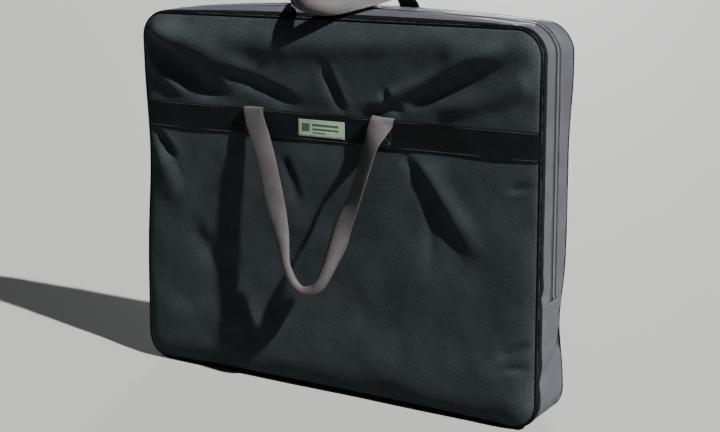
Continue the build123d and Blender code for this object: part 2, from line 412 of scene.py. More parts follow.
class Cloth:
    """Gathers grids of quads, and turns them into one object."""

    def __init__(self):
        self.points, self.faces, self.uv, self.count = [], [], [], 0

    def grid(self, points, uv, close=(False, False), flip=False):
        """Adds a grid; close joins its last row, or column, to its first."""
        rows, columns = points.shape[:2]
        r = np.arange(rows + close[0])
        c = np.arange(columns + close[1])
        index = (r % rows)[:, None] * columns + (c % columns) + self.count
        corner = [np.s_[:-1, :-1], np.s_[1:, :-1], np.s_[1:, 1:], np.s_[:-1, 1:]]
        if flip:
            corner.reverse()
        self.faces.append(np.stack([index[k] for k in corner], -1).reshape(-1, 4))
        self.uv.append(np.stack([uv[k] for k in corner], -2).reshape(-1, 2))
        self.points.append(points.reshape(-1, 3))
        self.count += rows * columns
        return index

    def quads(self, faces, uv=(0.0, 0.0)):
        """Adds quads between points that are there already."""
        faces = np.asarray(faces).reshape(-1, 4)
        self.faces.append(faces)
        self.uv.append(np.tile(uv, (faces.size, 1)))

    def object(self, name, sharp=50):
        mesh = bpy.data.meshes.new(name)
        points = np.concatenate(self.points)
        mesh.from_pydata(points.tolist(), [], np.concatenate(self.faces).tolist())
        layer = mesh.uv_layers.new(name="UVMap")
        layer.data.foreach_set("uv", np.concatenate(self.uv).astype(np.float32).ravel())
        mesh.shade_smooth()
        mesh.set_sharp_from_angle(angle=radians(sharp))
        made = bpy.data.objects.new(name, mesh)
        bpy.context.scene.collection.objects.link(made)
        return made


def single(name, shape, *parts, **how):
    """One object from one call of slab, strip, tube or another shape."""
    cloth = Cloth()
    shape(cloth, *parts, **how)
    return cloth.object(name)


def slab(cloth, points, uv, thick, flip=False):
    """A sheet with thickness: the outer grid, the same grid moved inwards, and four rims."""
    inward = -normals(points) * (-1 if flip else 1)
    outer = cloth.grid(points, uv, flip=flip)
    inner = cloth.grid(points + inward * thick, uv, flip=not flip)
    for a, b in (
        (outer[0], inner[0]),
        (inner[-1], outer[-1]),
        (inner[:, 0], outer[:, 0]),
        (outer[:, -1], inner[:, -1]),
    ):
        rim = np.stack([a[:-1], a[1:], b[1:], b[:-1]], -1)
        cloth.quads(rim[:, ::-1] if flip else rim)


def strip(cloth, rings, length, close=False, flip=False):
    """A closed section carried along a path: rings of points, half of them outside.

    Each ring runs along the outer side and back along the inner one. Open ends are capped.
    """
    rows, columns = rings.shape[:2]
    across = np.linalg.norm(np.diff(rings[0], axis=0, append=rings[0, :1]), axis=1)
    v = np.append(0, np.cumsum(across))
    half = columns // 2
    v[half:] = v[half - 1] - (v[half:] - v[half])
    u = np.append(length, length[-1] + 0.004) if close else length
    uv = np.stack(np.meshgrid(u, v, indexing="ij"), -1)
    index = cloth.grid(rings, uv, close=(close, True), flip=flip)
    if not close:
        j = np.arange(half - 1)
        for ring, back in ((index[0], False), (index[-1], True)):
            cap = np.stack([ring[j], ring[j + 1], ring[columns - 2 - j], ring[columns - 1 - j]], -1)
            cloth.quads(cap[:, ::-1] if back != flip else cap)


def section(outer, inner):
    """A closed section from its outer side and its inner side, both from left to right."""
    return np.concatenate([outer, inner[:, ::-1]], 1)


def tube(cloth, centres, radius, length, sides=12):
    """A round cord along a closed loop that lies mostly in the XZ plane."""
    ahead = np.roll(centres, -1, 0) - np.roll(centres, 1, 0)
    ahead /= np.linalg.norm(ahead, axis=1, keepdims=True)
    across = np.cross(ahead, (0.0, 1.0, 0.0))
    across /= np.linalg.norm(across, axis=1, keepdims=True)
    up = np.cross(across, ahead)
    angle = np.linspace(0, 2 * pi, sides, endpoint=False)[:, None]
    rings = centres[:, None] + radius * (np.cos(angle) * across[:, None] + np.sin(angle) * up[:, None])
    strip(cloth, rings, length, close=True)


def beads(cloth, centres, along, up, size):
    """Small rounded bars, such as stitches and zip teeth: a hexagon at four places.

    size is half the length, half the width and half the height of each bar.
    """
    along = along / np.linalg.norm(along, axis=1, keepdims=True)
    up = up - (up * along).sum(1, keepdims=True) * along
    up /= np.linalg.norm(up, axis=1, keepdims=True)
    wide = np.cross(along, up)
    stations = np.array([-1.0, -0.72, 0.72, 1.0])
    girth = np.array([0.35, 1.0, 1.0, 0.35])
    angle = np.linspace(0, 2 * pi, 6, endpoint=False)
    bar = (
        centres[:, None, None]
        + (stations * size[0])[:, None, None] * along[:, None, None]
        + girth[:, None, None]
        * (
            (np.cos(angle) * size[1])[:, None] * wide[:, None, None]
            + (np.sin(angle) * size[2])[:, None] * up[:, None, None]
        )
    )
    count = len(centres)
    base = cloth.count + 24 * np.arange(count)[:, None]
    ring, nxt = np.arange(6), (np.arange(6) + 1) % 6
    sides = [
        np.stack([6 * k + ring, 6 * k + nxt, 6 * k + 6 + nxt, 6 * k + 6 + ring], -1) for k in range(3)
    ]
    caps = np.array([[0, 3, 2, 1], [0, 5, 4, 3], [18, 19, 20, 21], [18, 21, 22, 23]])
    faces = np.concatenate([*sides, caps])[:, ::-1]
    cloth.points.append(bar.reshape(-1, 3))
    cloth.count += 24 * count
    cloth.quads(base[:, None] + faces)


def row_of_stitches(cloth, line, up, pitch=None):
    """Stitches laid end to end along a line of points, each lying on the cloth.

    up is the way the cloth faces, at each point or everywhere.
    """
    usual, half_sizes = 3.6 * MM, np.array([1.25, 0.33, 0.24]) * MM
    pitch = pitch or bpy.context.scene.bag_sizes.stitch
    up = np.broadcast_to(up, line.shape)
    far = np.append(0, np.cumsum(np.linalg.norm(np.diff(line, axis=0), axis=1)))

    def at(where, values):
        return np.stack([np.interp(where, far, values[:, i]) for i in range(3)], 1)

    middle = np.arange(pitch / 2, far[-1], pitch)
    ahead = at(middle + 0.1 * MM, line) - at(middle - 0.1 * MM, line)
    beads(cloth, at(middle, line), ahead, at(middle, up), half_sizes * (pitch / usual))


# Materials


def nodes_of(name):
    material = bpy.data.materials.new(name)
    material.use_nodes = True
    tree = material.node_tree
    return material, tree, tree.nodes["Principled BSDF"]


def add(tree, kind, **settings):
    """A node with its settings; a value whose name is a socket's goes on that socket."""
    node = tree.nodes.new(kind)
    for key, value in settings.items():
        if key in node.inputs:
            node.inputs[key].default_value = value
        else:
            setattr(node, key, value)
    return node


def maths(tree, operation, a, b=None):
    node = add(tree, "ShaderNodeMath", operation=operation)
    for socket, value in zip(node.inputs, (a, b)):
        if isinstance(value, (int, float)):
            socket.default_value = value
        elif value is not None:
            tree.links.new(value, socket)
    return node.outputs[0]


def woven(name, base, pitch, weave, rough, depth, grain, sheen, spec):
    """Woven cloth, patterned on its UV map, which is in metres.

    A plain weave is the product of two rows of waves; webbing has ribs across it and a
    slant; a fine random grain and slow swells of tone lie over both.
    """
    material, tree, shader = nodes_of(name)
    link = tree.links.new
    place = add(tree, "ShaderNodeUVMap", uv_map="UVMap")
    parts = add(tree, "ShaderNodeSeparateXYZ")
    link(place.outputs[0], parts.inputs[0])
    u = maths(tree, "MULTIPLY", parts.outputs[0], 2 * pi / pitch[0])
    v = maths(tree, "MULTIPLY", parts.outputs[1], 2 * pi / pitch[1])
    if weave == "webbing":
        v = maths(tree, "ADD", v, maths(tree, "MULTIPLY", maths(tree, "SINE", u), 0.9))
        height = maths(tree, "MULTIPLY_ADD", maths(tree, "SINE", v), 0.5)
        cross = maths(tree, "MULTIPLY", maths(tree, "SINE", maths(tree, "MULTIPLY", u, 2.0)), 0.35)
        height = maths(tree, "ADD", height, cross)
    else:
        height = maths(tree, "MULTIPLY", maths(tree, "SINE", u), maths(tree, "SINE", v))
    grains = add(tree, "ShaderNodeTexNoise", Scale=330.0, Detail=3.0, Roughness=0.7)
    blotch = add(tree, "ShaderNodeTexNoise", Scale=16.0, Detail=4.0, Roughness=0.55)
    for texture in (grains, blotch):
        link(place.outputs[0], texture.inputs["Vector"])
    rough_yarn = maths(tree, "MULTIPLY", grains.outputs[0], 0.9)
    surface = maths(tree, "ADD", maths(tree, "MULTIPLY", height, 0.5), rough_yarn)
    tone = maths(tree, "MULTIPLY", grains.outputs[0], grain)
    tone = maths(tree, "ADD", tone, maths(tree, "MULTIPLY", blotch.outputs[0], 0.35))
    tone = maths(tree, "ADD", tone, maths(tree, "MULTIPLY", height, 0.10))
    ramp = add(tree, "ShaderNodeValToRGB")
    # A strong grain moves the tone further, so its ramp is set higher
    dark, pale = ramp.color_ramp.elements
    dark.position = 0.40 if grain > 0.7 else 0.22
    pale.position = 0.72 if grain > 0.5 else 0.5
    dark.color = (*(c * 0.45 for c in base), 1)
    pale.color = (*(min(1, c * 1.5) for c in base), 1)
    link(tone, ramp.inputs[0])
    link(ramp.outputs[0], shader.inputs["Base Color"])
    gloss = maths(tree, "ADD", maths(tree, "MULTIPLY", blotch.outputs[0], 0.16), rough - 0.08)
    link(gloss, shader.inputs["Roughness"])
    bump = add(tree, "ShaderNodeBump", Strength=depth, Distance=min(pitch) * 0.35)
    link(surface, bump.inputs["Height"])
    link(bump.outputs[0], shader.inputs["Normal"])
    shader.inputs["Specular IOR Level"].default_value = spec
    shader.inputs["Sheen Weight"].default_value = sheen
    shader.inputs["Sheen Roughness"].default_value = 0.4
    return material


def moulded(name, base, rough, metallic=0.0, scale=400.0):
    """Thread, nylon, board or metal: a colour with fine flecks and scuffs on Object coordinates."""
    material, tree, shader = nodes_of(name)
    link = tree.links.new
    place = add(tree, "ShaderNodeTexCoord")
    scuff = add(tree, "ShaderNodeTexNoise", Scale=scale, Detail=4.0, Roughness=0.65)
    link(place.outputs["Object"], scuff.inputs["Vector"])
    ramp = add(tree, "ShaderNodeValToRGB")
    plain, scuffed = ramp.color_ramp.elements
    plain.position, scuffed.position = 0.35, 0.72
    plain.color = (*base, 1)
    scuffed.color = (*(min(1, c * 1.8 + 0.01) for c in base), 1)
    link(scuff.outputs[0], ramp.inputs[0])
    link(ramp.outputs[0], shader.inputs["Base Color"])
    gloss = maths(tree, "ADD", maths(tree, "MULTIPLY", scuff.outputs[0], 0.3), rough - 0.15)
    link(gloss, shader.inputs["Roughness"])
    bump = add(tree, "ShaderNodeBump", Strength=0.15, Distance=0.0002)
    link(scuff.outputs[0], bump.inputs["Height"])
    link(bump.outputs[0], shader.inputs["Normal"])
    shader.inputs["Metallic"].default_value = metallic
    return material


# Woven surfaces: material, pitch in mm, weave, roughness, depth, grain, sheen, specular
WEAVES = {
    "cloth": ("coated_cloth", (0.9, 0.9), "plain", 0.6, 0.35, 0.8, 0.0, 0.03),
    "gusset": ("gusset_cloth", (0.9, 0.9), "plain", 0.55, 0.35, 0.6, 0.0, 0.08),
    "lining": ("lining_cloth", (0.5, 0.5), "plain", 0.42, 0.2, 0.2, 0.05, 0.5),
    "band": ("band_webbing", (1.6, 2.6), "webbing", 0.6, 0.6, 0.3, 0.0, 0.06),
    "handle": ("handle_webbing", (1.6, 2.6), "webbing", 0.55, 0.6, 0.3, 0.0, 0.08),
    "tape": ("zip_tape", (0.8, 1.2), "webbing", 0.6, 0.5, 0.2, 0.05, 0.3),
    "piping": ("piping_tape", (0.5, 0.5), "plain", 0.6, 0.2, 0.2, 0.0, 0.04),
    "label": ("label_cloth", (0.5, 0.5), "plain", 0.6, 0.2, 0.3, 0.2, 0.5),
    "bars": ("label_bars", (0.5, 0.5), "plain", 0.6, 0.2, 0.3, 0.2, 0.5),
}

# Other surfaces: material, roughness, how metallic, and how many flecks to a metre
MOULDED = {
    "thread": ("thread", 0.55, 0.0, 1500.0),
    "coil": ("nylon_coil", 0.38),
    "enamel": ("black_enamel", 0.35, 0.6),
    "steel": ("stop_metal", 0.4, 1.0),
    "board": ("fluted_board", 0.5),
}

MATERIALS = {}


def finish_of(name):
    """The material of one kind of surface, made when it is first asked for."""
    if name not in MATERIALS:
        base = getattr(bpy.context.scene.bag_colours, name)
        if name in WEAVES:
            material, pitch, *look = WEAVES[name]
            MATERIALS[name] = woven(material, base, [length * MM for length in pitch], *look)
        else:
            material, *look = MOULDED[name]
            MATERIALS[name] = moulded(material, base, *look)
    return MATERIALS[name]


def dress(piece, finish, body, replaces=(), bends=False):
    """Gives a finished piece its material, hides the parts it replaces, and joins it to its body.

    With bends set, the piece is baked where it stands instead of being joined to a body.
    """
    piece.data.materials.append(finish_of(finish))
    if replaces:
        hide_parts(*replaces)
    if bends:
        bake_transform(piece)
    else:
        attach(piece, body)


# Pieces


def make_panel(name, out, stands):
    """A panel's outer cloth: the grid over the outline, at the seam plane plus its relief.

    Beside the seam it dives under the piping.
    """
    x, z = panel_grid(SEAM_IN, 228, 190)
    plane = FRONT if out < 0 else REAR
    dive = 1.6 * MM * bell(edge_distance(x, z, SEAM_IN), 0, 2.6 * MM) + 0.7 * MM
    points = settle(np.stack([x, plane + out * (stands(x, z) - dive), z], -1))
    return single(name, slab, points, np.stack([x, z], -1), 0.9 * MM, flip=out < 0)


def make_lining(name, out, stands):
    """A panel's lining, which follows its outer cloth a padding's thickness inside it."""
    x, z = panel_grid(6.2 * MM, 180, 150)
    plane = (FRONT if out < 0 else REAR) - out * 5.2 * MM
    points = settle(np.stack([x, plane + out * 0.92 * stands(x, z), z], -1))
    return single(name, slab, points, np.stack([x, z], -1), 0.5 * MM, flip=out < 0)


def make_piping(name, y):
    """Covered cord in a long seam, all the way round."""
    path = outline(SEAM_IN)
    centres = settle(around(path, 0.0, np.array([y])))[:, 0]
    return single(name, tube, centres, 2.15 * MM, path[2])


def pucker(length, y, seam_y, size):
    """Small gathers beside a seam, dying away from it."""
    near = np.exp(-np.abs(y - seam_y) / 0.006)
    wave = np.sin(length * 2 * pi / 0.019 + 3 * np.sin(length * 2 * pi / 0.13))
    return size * near * wave


def gusset_strip(cloth, path, y_span, hem, puff=1.6 * MM, flip=False):
    """A gusset strip: swollen a little across, gathered at its seam, hem turned under.

    hem is -1 for a hem at the low-y edge, 1 for one at the high-y edge and 0 for none.
    """
    t = np.linspace(0, 1, 17)
    y = y_span[0] + (y_span[1] - y_span[0]) * t
    length = path[2][:, None]
    seam_y = y_span[0] if hem >= 0 else y_span[1]
    out = puff * np.sin(pi * t) ** 0.8 - 0.9 * MM + pucker(length, y, seam_y, 0.45 * MM)
    if hem == 0:
        out = out + pucker(length, y, y_span[1], 0.45 * MM)
    out = out + 0.35 * MM * ripple(length, y, 0.05, 5) + side_creases(path, y)
    inner = out - 1.0 * MM
    if hem:
        inner = inner - 0.9 * MM * smooth(t if hem > 0 else 1 - t, 0.72, 0.80)
    rings = section(around(path, out, y), around(path, inner, y))
    strip(cloth, settle(rings), path[2], flip=flip)


def side_creases(path, y):
    """Creases across the right side, where the zip ends and near the foot."""
    x, z = path[0][:, :1], path[0][:, 1:]
    front = smooth(-y, -0.02, 0.045)
    at_end = -2.6 * MM * bell(z, 0.226, 0.009) + 1.5 * MM * bell(z, 0.248, 0.012)
    slant = (z - 0.60 * y - 0.105) / 0.016
    foot = 1.6 * MM * bell(slant, 1.9, 1) - 2.8 * MM * bell(slant, 0, 1)
    low = 1 - smooth(z, 0.15, 0.19)
    return smooth(x, 0.30, 0.40) * (at_end * front + foot * low)


class BAG_OT_panels(bpy.types.Operator):
    """Makes the front and rear panels and their linings"""

    bl_idname = "bag.panels"
    bl_label = "Panels"

    def execute(self, context):
        hidden = {
            "front_cloth": ["front_panel_upper", "front_panel_lower"],
            "rear_cloth": ["rear_panel"],
            "front_inner_cloth": [
                f"front_{layer}_{part}" for layer in ("foam", "lining") for part in ("upper", "lower")
            ],
            "rear_inner_cloth": ["rear_foam", "rear_lining"],
        }
        for kind, make, beneath, finish, slot in (
            ("cloth", make_panel, "piping", "cloth", "panel_cloth"),
            ("inner_cloth", make_lining, "cloth", "lining", "lining"),
        ):
            for side, out, stands, body in FACES:
                name = f"{side}_{kind}"
                made = make(name, out, stands)
                dress(made, finish, body, hidden[name], bends=body == "flap")
        return {"FINISHED"}


class BAG_OT_piping(bpy.types.Operator):
    """Makes the piping in the two long seams"""

    bl_idname = "bag.piping"
    bl_label = "Piping"

    def execute(self, context):
        front = make_piping("front_piping", FRONT + SEAM_IN)
        hidden = ["piping_front_upper", "piping_front_lower"]
        dress(front, "piping", "flap", hidden, bends=True)
        rear = make_piping("rear_piping", REAR - SEAM_IN)
        dress(rear, "piping", "shell", ["piping_rear"])
        return {"FINISHED"}


def make_painted_shade_tape(name):
    """Black tape over the gusset's edge, all the way round the front seam: painted shade, a dark strip
    that stands for the shade on the gusset beside the piping.
    """
    path = outline(0.0)
    y = np.linspace(STRIP_FRONT[0] + 0.6 * MM, STRIP_FRONT[0] + 12.5 * MM, 8)
    bulge = 0.9 * MM + 0.5 * MM * np.sin(np.linspace(0.2, pi - 0.2, 8))
    out = bulge + 0.1 * MM * ripple(path[2][:, None], y, 0.04, 3) + side_creases(path, y)
    rings = section(around(path, out, y), around(path, out - 1.9 * MM, y))
    return single(name, strip, settle(rings), path[2], close=True)


class BAG_OT_gusset(bpy.types.Operator):
    """Makes the gusset's strips, the strips across the zip's ends, and their stitches"""

    bl_idname = "bag.gusset"
    bl_label = "Gusset"

    def execute(self, context):
        above = outline(0.0, END_TOP)
        for name, y_span, hem, body in (
            ("front", STRIP_FRONT, 1, "flap"),
            ("rear", STRIP_REAR, -1, "shell"),
        ):
            made = single(f"gusset_{name}_cloth", gusset_strip, above, y_span, hem)
            dress(made, "gusset", body, [f"gusset_{name}"], bends=body == "flap")
        below = outline(0.0, FOLD_Z, upper=False)
        span = (STRIP_FRONT[0], STRIP_REAR[1])
        foot = single("gusset_bottom_cloth", gusset_strip, below, span, 0, puff=1.0 * MM, flip=True)
        dress(foot, "gusset", "shell", ["gusset_bottom"])
        self.ends(span)
        self.hems(above)
        # Painted shade: a dark tape round the front seam stands for the shade beside the piping
        dress(make_painted_shade_tape("front_painted_shade_tape"), "piping", "flap", bends=True)
        return {"FINISHED"}

    def ends(self, span):
        """Strips sewn across both sides where the zip ends, with two rows of stitches."""
        seams = Cloth()
        y = np.linspace(*span, 30)
        z = np.linspace(FOLD_Z - 3 * MM, END_TOP, 9)
        swell = 1.1 * MM * np.sin(pi * (y - span[0]) / (span[1] - span[0])) ** 0.8
        tuck = -0.5 * MM * np.abs((z - z.mean()) / (z[-1] - z.mean()))[:, None] ** 3
        out = swell + 0.5 * MM + tuck
        for side, name in ((-1, "left"), (1, "right")):
            outward = np.tile((side, 0.0), (len(z), 1))
            path = (np.stack([np.full(len(z), side * WIDTH / 2), z], 1), outward, z - z[0])
            rings = section(around(path, out, y), around(path, out - 1.2 * MM, y))
            patch = single(f"zip_end_{name}_cloth", strip, settle(rings), path[2], flip=side > 0)
            dress(patch, "gusset", "shell", [f"zip_end_{name}"])
            for row in (1, -2):
                line = settle(around(path, out + 0.1 * MM, y))[row]
                row_of_stitches(seams, line, (side, 0.0, 0.0))
        dress(seams.object("zip_end_stitches"), "thread", "shell")

    def hems(self, path):
        """A row of stitches along each hem beside the zip."""
        for name, y, body in (
            ("gusset_front_stitches", STRIP_FRONT[1] - 3.5 * MM, "flap"),
            ("gusset_rear_stitches", STRIP_REAR[0] + 3.5 * MM, "shell"),
        ):
            line = settle(around(path, -0.15 * MM, np.array([y])))[:, 0]
            up = np.stack([path[1][:, 0], np.zeros(len(line)), path[1][:, 1]], 1)
            made = single(name, row_of_stitches, line, up)
            dress(made, "thread", body, bends=body == "flap")


class BAG_OT_zip(bpy.types.Operator):
    """Makes the zip's tapes and its interlocking coils"""

    bl_idname = "bag.zip"
    bl_label = "Zip"

    def execute(self, context):
        pitch = context.scene.bag_sizes.tooth
        path = outline(0.0, END_TOP + 0.5 * MM)
        length, clear = path[2], 4 * MM
        for name, way, body in (("front", -1, "flap"), ("rear", 1, "shell")):
            y = np.sort(ZIP_Y + way * np.array([2.0, 4.0, 8.0, 13.0, 18.0]) * MM)
            rings = section(around(path, -1.9 * MM, y), around(path, -2.5 * MM, y))
            made = single(f"zip_{name}_tape", strip, settle(rings), length)
            dress(made, "tape", body, [f"zip_tape_{name}"], bends=body == "flap")
            at = np.arange(clear + (pitch / 2 if way > 0 else 0), length[-1] - clear, pitch)
            spots = [np.stack([np.interp(at, length, part[:, i]) for i in (0, 1)], 1) for part in path[:2]]
            teeth = (*spots, at)
            centres = settle(around(teeth, -0.55 * MM, np.array([ZIP_Y + way * 1.3 * MM])))[:, 0]
            across = np.tile((0.0, 1.0, 0.0), (len(at), 1))
            up = np.stack([spots[1][:, 0], 0 * at, spots[1][:, 1]], 1)
            tooth = np.array([2.2, 0.95, 1.0]) * MM
            made = single(f"zip_{name}_teeth", beads, centres, across, up, tooth)
            dress(made, "coil", body, [f"zip_coil_{name}"], bends=body == "flap")
        return {"FINISHED"}


def on_band(x, z, out, stands, above):
    """A point on the band's face, above the cloth by above."""
    plane = FRONT if out < 0 else REAR
    return settle(np.stack([x, plane + out * (stands(x, z) - 0.7 * MM + above), z], -1))


def make_band(name, out, stands):
    """Webbing across a panel: it follows the cloth beneath, its edges a little proud."""
    half = WIDTH / 2 - 3.2 * MM
    x = np.linspace(-half, half, 271)
    z = np.linspace(BAND_LOW, BAND_HIGH, 15)
    gx, gz = np.meshgrid(x, z, indexing="ij")
    wave = 0.5 * MM * np.sin(gx * 2 * pi / 0.21 + 1) * ((gz - z.mean()) / (z[-1] - z.mean())) ** 3
    ends = 1 - smooth(np.abs(gx), half - 9 * MM, half)
    face = on_band(gx, gz, out, stands, 1.5 * MM + (wave + 0.2 * MM) * ends)
    back = on_band(gx, gz, out, stands, 0.1 * MM)
    return single(name, strip, section(face, back), x - x[0], flip=out > 0)


def stitched(cloth, runs, count, out, stands, above, pitch=None):
    """Rows of stitches on a band, each straight from one point to another, as x and z."""
    for a, b in runs:
        spots = np.linspace(a, b, count)
        line = on_band(spots[:, 0], spots[:, 1], out, stands, above)
        row_of_stitches(cloth, line, (0.0, out, 0.0), pitch)


def corners_of(left, right, foot, top):
    return [(left, foot), (right, foot), (right, top), (left, top)]


def box_stitches(cloth, centre_x, out, stands, above):
    """A box with a cross in it, the usual tack at a handle's end."""
    middle = (BAND_LOW + BAND_HIGH) / 2
    wide, high = 16.5 * MM, 17.5 * MM
    box = corners_of(centre_x - wide, centre_x + wide, middle - high, middle + high)
    runs = [*zip(box, box[1:] + box[:1]), (box[0], box[2]), (box[1], box[3])]
    stitched(cloth, runs, 12, out, stands, above)


class BAG_OT_bands(bpy.types.Operator):
    """Makes the webbing across both panels and its stitches"""

    bl_idname = "bag.bands"
    bl_label = "Bands"

    def execute(self, context):
        half = context.scene.bag_sizes.webbing / 2
        ends = (LOW["handle_front_ends"][0] + half, HIGH["handle_front_ends"][0] - half)
        for name, out, stands, body in FACES:
            made = make_band(f"{name}_band", out, stands)
            dress(made, "band", body, [f"band_{name}"])
            seams = Cloth()
            reach = WIDTH / 2 - 6 * MM
            levels = (BAND_LOW + 2.5 * MM, BAND_HIGH - 2.5 * MM)
            rows = [((-reach, z), (reach, z)) for z in levels]
            stitched(seams, rows, 260, out, stands, 1.75 * MM)
            made = seams.object(f"{name}_band_stitches")
            dress(made, "thread", body, [f"band_{name}_thread"])
            seams = Cloth()
            for centre in ends:
                box_stitches(seams, centre, out, stands, 1.8 * MM)
            made = seams.object(f"{name}_handle_tacks")
            dress(made, "thread", body, [f"handle_{name}_tacks"])
        return {"FINISHED"}


# The left, right, lower and upper edges of the bars on the label, in millimetres
LABEL_BARS = ((-46, -30, 472, 486), (-24, 30, 482, 486), (-24, 30, 475, 478), (-24, 4, 469, 471))


class BAG_OT_label(bpy.types.Operator):
    """Makes the plain label on the front band, its border and its woven bars"""

    bl_idname = "bag.label"
    bl_label = "Label"

    def execute(self, context):
        low, high = LOW["label"], HIGH["label"]
        gx, gz = np.meshgrid(np.linspace(low[0], high[0], 33), np.linspace(low[2], high[2], 13))
        edge = np.minimum.reduce([gx - low[0], high[0] - gx, gz - low[2], high[2] - gz])
        lift = 2.2 * MM + 0.35 * MM * smooth(edge, 0, 3 * MM)
        points = on_band(gx, gz, -1, front_relief, lift)
        made = single("label_patch", slab, points, np.stack([gx, gz], -1), 0.6 * MM, flip=True)
        dress(made, "label", "flap", ["label"])
        inset = 2.2 * MM
        box = corners_of(low[0] + inset, high[0] - inset, low[2] + inset, high[2] - inset)
        seams = Cloth()
        stitched(seams, zip(box, box[1:] + box[:1]), 20, -1, front_relief, 2.6 * MM, 2.6 * MM)
        dress(seams.object("label_stitches"), "thread", "flap", ["label_thread"])
        bars = Cloth()
        for left, right, foot, top in LABEL_BARS:
            gx, gz = np.meshgrid(np.linspace(left, right, 9) * MM, np.linspace(foot, top, 4) * MM)
            face = on_band(gx, gz, -1, front_relief, 2.75 * MM)
            slab(bars, face, np.stack([gx, gz], -1), 0.3 * MM, flip=True)
        dress(bars.object("label_bars"), "bars", "flap")
        return {"FINISHED"}


def ribbon(cloth, knots, width, thick=1.9 * MM):
    """Webbing along a curve, turned and curled as it goes.

    knots holds a middle point, the way the face looks and how far the webbing is curled
    lengthwise, in degrees. Its section is a bar bent to an arc of that many degrees, with
    its edges away from the face.
    """
    path, length = smooth_path(knots, 2.0)
    centre, face = path[:, :3] * MM, path[:, 3:6]
    ahead = np.gradient(centre, axis=0)
    ahead /= np.linalg.norm(ahead, axis=1, keepdims=True)
    face = face - (face * ahead).sum(1, keepdims=True) * ahead
    face /= np.linalg.norm(face, axis=1, keepdims=True)
    across = np.cross(ahead, face)
    a = np.linspace(-1, 1, 17)
    bend = np.radians(np.maximum(path[:, 6:], 8.0)) / 2
    side = width / 2 * np.sin(a * bend) / bend
    bow = width / 2 * (np.cos(a * bend) - 1) / bend
    bow = bow - bow.mean(1, keepdims=True)
    middle = centre[:, None] + side[..., None] * across[:, None] + bow[..., None] * face[:, None]
    away = np.cos(a * bend)[..., None] * face[:, None] + np.sin(a * bend)[..., None] * across[:, None]
    half = (thick / 2 * (1 - 0.45 * np.abs(a) ** 8))[:, None]
    strip(cloth, section(middle + half * away, middle - half * away), length * MM, flip=True)


# Middles of the webbing in millimetres, the way its face looks, and its curl in degrees
FRONT_HANDLE = (
    (-148, -61.5, 488, 0, 1, 0, 0),
    (-148, -62, 500, 0, 1, 0, 0),
    (-148, -64, 506.5, 0, 0.6, 0.8, 0),
    (-148, -67.5, 507, 0, -0.6, 0.8, 0),
    (-147, -70.5, 501, 0, -1, 0.1, 0),
    (-139, -75, 482, 0.06, -1, 0, 10),
    (-125, -81, 456, 0.08, -1, 0, 20),
    (-106, -88, 410, 0.1, -1, 0, 30),
    (-93, -92, 369, 0.1, -1, 0, 30),
    (-83, -95, 335, 0.1, -1, 0, 40),
    (-73, -99, 295, 0.0, -1, 0, 80),
    (-65, -102, 265, -0.4, -0.9, 0, 150),
    (-55, -105, 235, -0.8, -0.6, -0.1, 215),
    (-38, -108, 207, -0.7, -0.5, -0.5, 235),
    (-14, -110, 193, 0, -0.55, -0.85, 240),
    (14, -109, 202, 0.5, -0.6, -0.6, 235),
    (34, -106, 236, 0.6, -0.75, -0.2, 215),
    (46, -103, 272, 0.3, -0.95, 0, 150),
    (60, -100, 318, -0.2, -1, 0, 60),
    (80, -96, 366, -0.5, -0.86, 0, 20),
    (97, -91, 420, -0.5, -0.86, 0, 10),
    (108, -84, 462, -0.45, -0.9, 0, 0),
    (115, -77, 484, -0.1, -1, 0.05, 0),
    (121, -71.5, 500, 0.25, -0.97, 0.2, 0),
    (122, -68, 506.5, 0.1, -0.6, 0.8, 0),
    (121, -64.5, 507, 0, 0.6, 0.8, 0),
    (119, -62, 500, 0, 1, 0, 0),
    (118, -61.5, 488, 0, 1, 0, 0),
)

# A rear leg, whose x is counted from its foot towards the way it leans
REAR_LEG = (
    (0, 61, 488, 0, 1, 0, 0),
    (0, 62, 503, 0, 1, 0, 0),
    (2, 66, 522, 0, 1, 0, 0),
    (6, 69, 560, 0, 1, 0.03, 10),
    (11, 69.5, 600, 0, 1, 0.03, 20),
)
REAR_FEET = ((-152, 1), (117, -1))

REAR_LOOP = (
    (-141, 69.5, 600, 0, 1, 0.03, 20),
    (-136, 69.5, 640, 0, 1, 0.05, 20),
    (-131, 67, 674, -0.05, 1, 0.2, 10),
    (-125, 56, 700, -0.15, 0.7, 0.7, 10),
    (-112, 30, 709, -0.35, 0.1, 0.93, 20),
    (-94, -4, 708, -0.65, -0.4, 0.65, 60),
    (-70, -42, 702, -0.85, -0.5, 0.15, 110),
    (-46, -72, 697, -0.8, -0.6, -0.1, 150),
    (-17, -87, 692, -0.15, -0.95, -0.3, 170),
    (12, -78, 694, 0.6, -0.75, 0.15, 130),
    (38, -48, 701, 0.6, -0.5, 0.6, 70),
    (63, -16, 707, 0.5, -0.3, 0.8, 30),
    (84, 22, 710, 0.3, 0.05, 0.93, 10),
    (97, 52, 703, 0.1, 0.7, 0.7, 10),
    (101, 67, 676, 0, 1, 0.2, 10),
    (103, 69.5, 640, 0, 1, 0.05, 20),
    (106, 69.5, 600, 0, 1, 0.03, 20),
)


